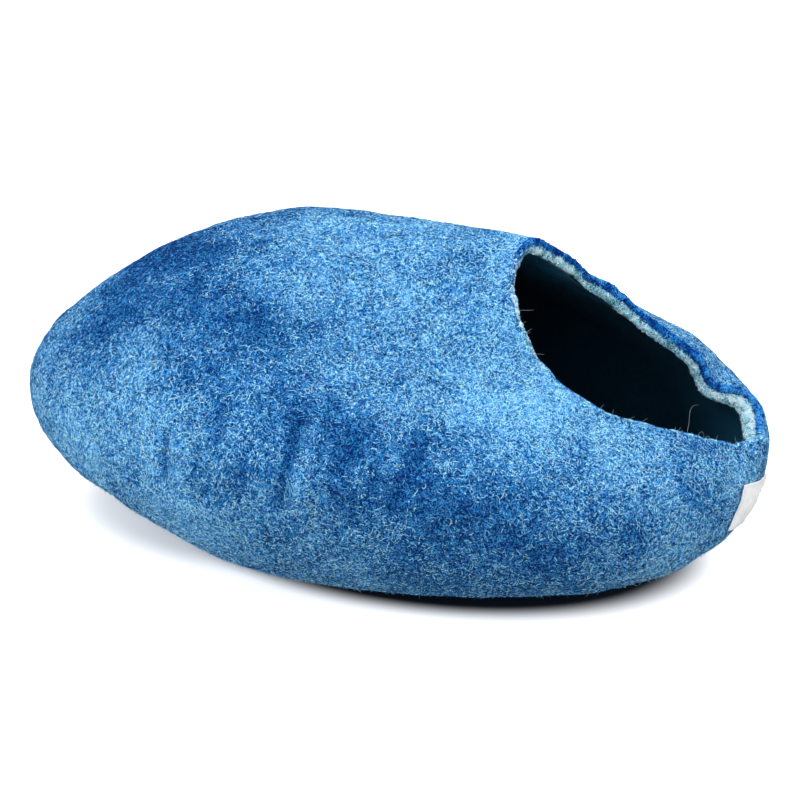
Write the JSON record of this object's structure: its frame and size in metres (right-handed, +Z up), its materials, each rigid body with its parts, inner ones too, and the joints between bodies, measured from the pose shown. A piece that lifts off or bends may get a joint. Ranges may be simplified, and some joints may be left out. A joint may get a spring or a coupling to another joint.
{
  "type": "pet cave bed",
  "caption": "Seamless slipper-shaped cave bed for a cat, thick felted wool shell with a rounded toe and a slanted opening on top at the heel.",
  "frame": {"origin": "centre of the bounding box on the surface the bed stands on", "axes": "+X along the bed from the closed toe to the heel and opening, +Z up, +Y to the far side in the picture"},
  "size_m": [0.542, 0.3588, 0.2339],
  "materials": {
    "blue_wool_felt": "matte mottled blue wool felt with pale curly fibres, pale aqua wool inside",
    "white_woven_tape": "matte white woven tape"
  },
  "bodies": {
    "root": {"felt_slipper": "blue_wool_felt", "woven_label": "white_woven_tape"}
  },
  "joints": []
}
